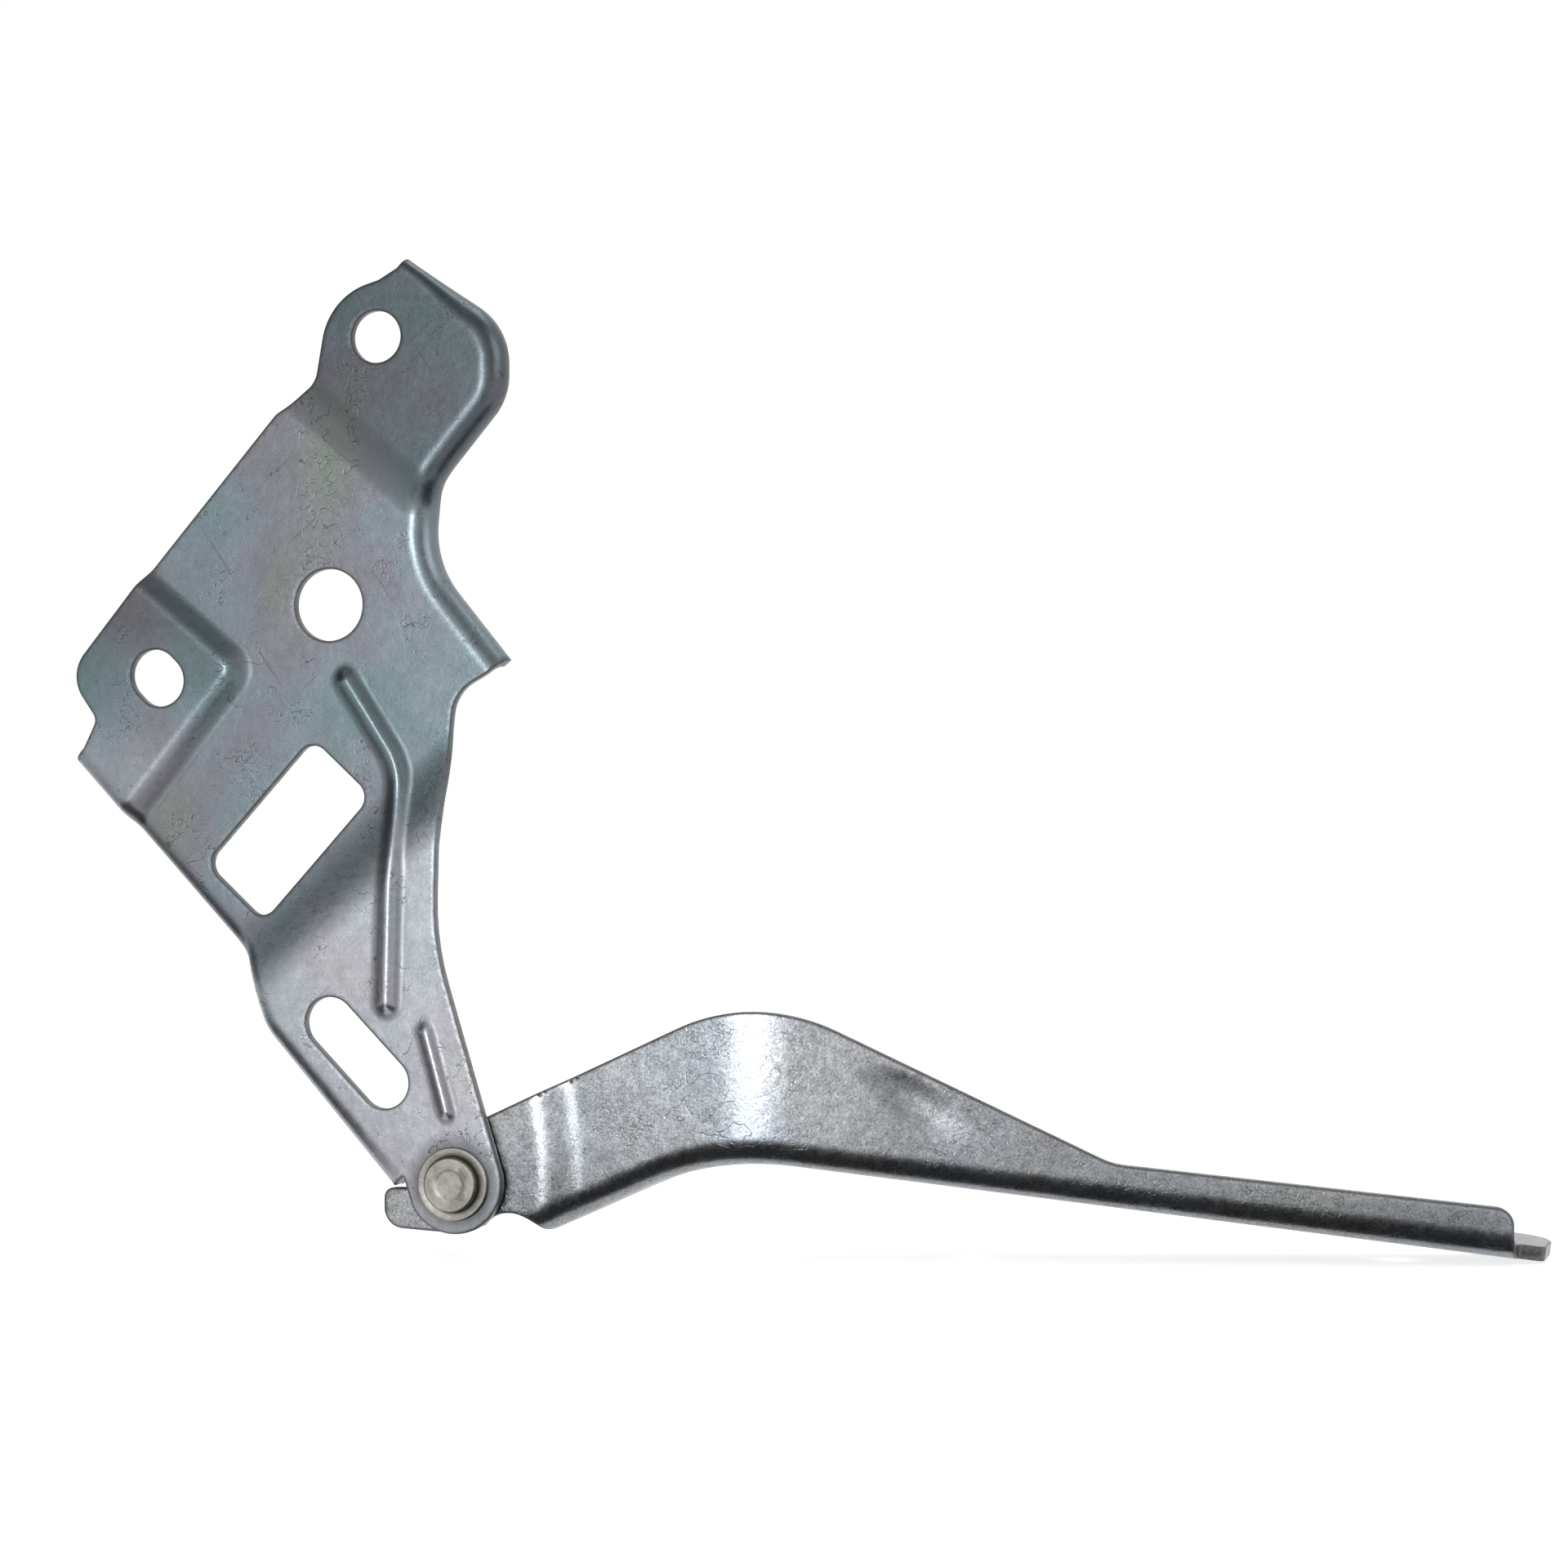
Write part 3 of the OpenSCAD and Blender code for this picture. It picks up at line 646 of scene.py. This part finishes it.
def plated(name, colours, rough, spangle, grime_and_shade, lines, painted_light_zones=False):
    """A plated sheet: skin colours, then spangle, painted light and shade by zone, painted shade in hollows,
    marks with a painted shadow round the washer, and cut edges.
    """
    f = Finish(name)
    at = f.node("ShaderNodeTexCoord", out="Object")
    fold, edge = f.attribute("fold"), f.attribute("edge")
    drift = f.noise(at, 30, 2.5, 0.5)
    skin = f.node("ShaderNodeValToRGB", {"stops": colours}, {0: drift.span(0.28, 0.72)})
    mottle, fine, cloud = f.noise(at, 520, 4.0, 0.65), f.noise(at, 2300, 2.0, 0.6), f.noise(at, 90, 3.0, 0.6)
    shade = (1 + (mottle - 0.5) * spangle + (fine - 0.5) * (spangle * 2.2)
             + (cloud - 0.5) * (0.15 + spangle * 0.5))
    # Painted shade on the seating pads, and painted light at the pivot end, which is paler and more mottled.
    if painted_light_zones:
        zone = f.attribute("zone")
        pale = zone.span(0, 1)
        shade = shade * (1 + zone.math("MINIMUM", 0) * 0.45 + pale * 0.85 + (mottle - 0.5) * pale * 0.5)
        skin = f.mix(pale * 0.6, skin, srgb(122, 120, 124))
    tone = f.node("ShaderNodeVectorMath", {"operation": "SCALE"}, {0: skin, "Scale": shade})
    # Painted shade where the sheet is folded hollow; the same mask also makes the hollows rougher.
    hollow = fold.span(0.004, 0.06) * (0.25 + cloud * 1.3)
    marks = squiggles(f, at, 420, 0.02, 110, 0.57) + squiggles(f, at, 160, 0.008, 45, 0.6)
    specks = f.noise(at, 420, 2.0, 0.5).span(0.74, 0.77)
    smudge = f.noise(at, 130, 5.0, 0.8).span(0.66, 0.74)
    cut = 1 - edge.span(0.0, 0.35)
    worn = scratches(f, at, 35, 0.72) + scratches(f, at, -50, 0.74)
    # A painted shadow ring on the plate round the washer.
    washer_shadow = (1 - (from_pivot(f, at) - 8.4).math("ABSOLUTE").span(0.2, 3.5)) * (0.3 + cloud * 0.6)
    tone = f.mix(hollow.math("MULTIPLY", 0.3, clamp=True), tone, grime_and_shade)
    # Dirt and wear marks, with the washer's painted shadow added to them.
    dirt_and_shade = marks * lines + specks * 0.5 + smudge * 0.35 + worn * 0.25 + washer_shadow
    tone = f.mix(dirt_and_shade.math("MULTIPLY", 1, clamp=True), tone, grime_and_shade)
    tone = f.mix((cut * (0.35 + mottle * 0.6)).math("MULTIPLY", 1, clamp=True), tone, grime_and_shade)
    relief = f.node("ShaderNodeBump", None, {"Strength": 0.3, "Distance": 0.0003,
                    "Height": mottle * 0.4 + fine * 0.2 + cloud * 1.5 - marks * 0.3})
    return f.finish(Base_Color=tone, Roughness=rough + (mottle - 0.5) * 0.2 + hollow * 0.12 + marks * 0.12,
                    Metallic=1 - cut * 0.4, Normal=relief)


def stops(*colours):
    """Evenly spaced stops for a colour ramp."""
    return [(k / (len(colours) - 1), srgb(*c)[:3]) for k, c in enumerate(colours)]


teal_to_straw = stops((103, 121, 123), (109, 125, 129), (117, 126, 132), (119, 119, 127), (116, 122, 118))
bracket_finish = plated("bracket_plated", teal_to_straw, 0.34, 0.2, srgb(52, 50, 48), 0.5, painted_light_zones=True)
arm_finish = plated("arm_plated", stops((135, 141, 147), (143, 147, 152), (147, 148, 150), (141, 147, 147)),
                    0.3, 0.85, srgb(48, 45, 44), 0.35)


# %% [markdown]
# ## The rivet's finish
# The rivet, its washer, the bush and the thrust washer are turned and paler. Grease and dust sit in rings
# round the pivot, so they are drawn from the distance to the pivot's axis, in loose arcs on the head's flat
# face. Painted shade lies in a ring where head meets washer, and the painted shadow where washer meets sheet
# lies on the bracket's finish.

# %% Turned metal
def pivot_metal(name):
    """Turned metal with lathe rings, grease arcs and a ring of painted shade at the head's foot, at fixed
    distances from the axis.
    """
    f = Finish(name)
    at = f.node("ShaderNodeTexCoord", out="Object")
    r = from_pivot(f, at)
    mottle, cloud = f.noise(at, 600, 4.0, 0.65), f.noise(at, 210, 3.0, 0.65)
    lathe = f.noise(f.node("ShaderNodeCombineXYZ", None, {0: r * 0.9, 1: cloud * 0.15}), 7, 2.0, 0.6)
    # Painted shade in a narrow ring where the head meets the washer.
    joint_shade = (1 - (r - 6.15).math("ABSOLUTE").span(0.1, 0.55)) * (0.5 + cloud)
    arcs = cloud.span(0.5, 0.62) * (r - 3.9).math("ABSOLUTE").span(1.5, 0.2)
    tone = f.mix(mottle.span(0.3, 0.7), srgb(130, 130, 124), srgb(160, 158, 152))
    dirt_and_shade = joint_shade * 0.7 + arcs * 0.55 + (lathe - 0.5) * 0.3
    tone = f.mix(dirt_and_shade.math("MULTIPLY", 1, clamp=True), tone, srgb(92, 88, 66))
    relief = f.node("ShaderNodeBump", None,
                    {"Strength": 0.25, "Distance": 0.0002, "Height": lathe + mottle * 0.5})
    return f.finish(Base_Color=tone, Roughness=0.36 + cloud * 0.16, Metallic=1 - arcs * 0.4, Normal=relief)


pivot_finish = pivot_metal("pivot_plated")
for piece, finish in ((bracket, bracket_finish), (arm, arm_finish),
                      (rivet, pivot_finish), (washer, pivot_finish),
                      (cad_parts["pivot_bush"], pivot_finish),
                      (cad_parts["thrust_washer"], pivot_finish)):
    piece.data.materials.clear()
    piece.data.materials.append(finish)
print("finishes:", [m.name for m in bpy.data.materials if m.name.endswith("plated")])

# %% [markdown]
# ## Studio
# The world and the floor are white for the eye and in reflections. A narrow soft lamp stands next to the
# camera: flat faces miss it, and faces that turn a little to the right catch it as a bright band. Metal
# shows what is around it. A photograph's dark and bright bands could be painted into the finish, but then
# they would stay where they are when the arm turns. So grey cards stand to the right, overhead and at the
# left, and dark and bright ones lie on the floor, each where one bend or flat of the resting hinge looks.
# The cards are seen only in reflections.

# %% World, lamps and cards
def studio_world():
    """White for the eye and for reflections, a plainer level for the light that falls on matt surfaces."""
    world = bpy.data.worlds.new("studio")
    world.use_nodes = True
    bpy.context.scene.world = world
    tree = world.node_tree
    path = tree.nodes.new("ShaderNodeLightPath")
    seen, both = tree.nodes.new("ShaderNodeMath"), tree.nodes.new("ShaderNodeMath")
    seen.operation = both.operation = "MAXIMUM"
    tree.links.new(path.outputs["Is Camera Ray"], seen.inputs[0])
    tree.links.new(path.outputs["Is Glossy Ray"], seen.inputs[1])
    tree.links.new(seen.outputs[0], both.inputs[0])
    tree.links.new(path.outputs["Is Transmission Ray"], both.inputs[1])
    strength = tree.nodes.new("ShaderNodeMapRange")
    strength.inputs["To Min"].default_value = 0.7
    tree.links.new(both.outputs[0], strength.inputs["Value"])
    tree.links.new(strength.outputs[0], tree.nodes["Background"].inputs["Strength"])
    tree.nodes["Background"].inputs["Color"].default_value = (1, 1, 1, 1)


def lamp(name, place, size, power, target=(0.05, 0, -0.1)):
    """A rectangular lamp of so many watts that looks at the target."""
    data = bpy.data.lights.new(name, "AREA")
    data.shape, data.size, data.size_y, data.energy = "RECTANGLE", size[0], size[1], power
    o = bpy.data.objects.new(name, data)
    o.location = place
    o.rotation_euler = (Vector(target) - Vector(place)).to_track_quat("-Z", "Y").to_euler()
    bpy.context.collection.objects.link(o)


def card(name, level, corners):
    """A card of one even grey that only reflections see."""
    f = Finish(name)
    glow = f.node("ShaderNodeEmission", None, {"Color": (1, 1, 1, 1), "Strength": level})
    f.tree.links.new(glow.socket, f.tree.nodes["Material Output"].inputs["Surface"])
    mesh = bpy.data.meshes.new(name)
    mesh.from_pydata(corners, [], [tuple(range(len(corners)))])
    mesh.materials.append(f.material)
    o = bpy.data.objects.new(name, mesh)
    bpy.context.collection.objects.link(o)
    o.visible_camera = o.visible_diffuse = o.visible_shadow = o.visible_transmission = False


def facing(azimuth, elevation, reach, half_wide, half_high):
    """Corners of an upright card, reach metres away at an azimuth to the right of the front."""
    a, e = np.radians(azimuth), np.radians(elevation)
    way = np.array([np.sin(a) * np.cos(e), -np.cos(a) * np.cos(e), np.sin(e)])
    side = np.array([np.cos(a), np.sin(a), 0])
    rise = np.cross(way, side)
    return [tuple(way * reach + (0.08, 0, -0.1) + u * half_wide * side + v * half_high * rise)
            for u, v in ((-1, -1), (1, -1), (1, 1), (-1, 1))]


studio_world()
lamp("strip", (0.02, -1.3, -0.05), (0.2, 0.5), 7)
lamp("side", (1.4, -0.3, 0.5), (0.8, 1.0), 4)
lamp("top", (0.3, 0.3, 1.3), (0.9, 0.9), 5)
card("far_right_card", 0.45, facing(50, 5, 1.5, 0.4, 0.9))
card("top_card", 0.4, facing(0, 68, 1.1, 1.0, 0.5))
card("left_card", 0.12, facing(-92, 0, 1.0, 0.6, 1.0))
card("upper_left_card", 0.2, facing(-48, 27, 1.2, 0.35, 0.25))


def floor_card(name, level, *corners):
    """A card that lies just above the floor."""
    card(name, level, [(x, y, cad_box[0][2] - 0.0002) for x, y in corners])


floor_card("table_card", 0.05, (0.0, -0.12), (0.15, -0.12), (0.2, -0.06), (0.27, -0.05), (0.26, 0.05),
           (0.02, 0.0))
floor_card("left_floor_card", 0.12, (-0.24, -0.17), (-0.05, -0.17), (-0.03, 0.0), (-0.26, 0.05))
floor_card("hump_card", 3.5, (0.02, -0.87), (0.12, -0.87), (0.1, -0.42), (0.02, -0.42))
floor_card("bend_card", 7, (0.07, -1.5), (0.26, -1.5), (0.2, -0.95), (0.06, -0.95))
floor_card("web_card", 0.1, (0.18, -0.75), (0.43, -0.75), (0.33, -0.25), (0.15, -0.25))
floor_card("tip_card", 1.5, (0.2, -0.16), (0.33, -0.16), (0.3, -0.07), (0.21, -0.07))

# %% Floor
floor_z = cad_box[0][2] - 0.0005
floor_mesh = bpy.data.meshes.new("floor")
floor_mesh.from_pydata([(x, y, floor_z) for x, y in ((-6, -6), (6, -6), (6, 6), (-6, 6))], [], [(0, 1, 2, 3)])
floor = bpy.data.objects.new("floor", floor_mesh)
bpy.context.collection.objects.link(floor)
pale = Finish("floor")
eyes, shiny, clear = [pale.node("ShaderNodeLightPath", out=f"Is {way} Ray")
                      for way in ("Camera", "Glossy", "Transmission")]
seen = eyes.math("MAXIMUM", shiny).math("MAXIMUM", clear)
matt = pale.node("ShaderNodeBsdfDiffuse", None, {"Color": (0.5, 0.5, 0.5, 1)})
glow = pale.node("ShaderNodeEmission", None, {"Color": (1, 1, 1, 1), "Strength": seen * 0.72})
total = pale.node("ShaderNodeAddShader", None, {0: matt, 1: glow})
pale.tree.links.new(total.socket, pale.tree.nodes["Material Output"].inputs["Surface"])
floor_mesh.materials.append(pale.material)
bpy.context.scene.view_settings.view_transform = "Standard"
print("floor at", round(floor_z / MM, 1), "mm")
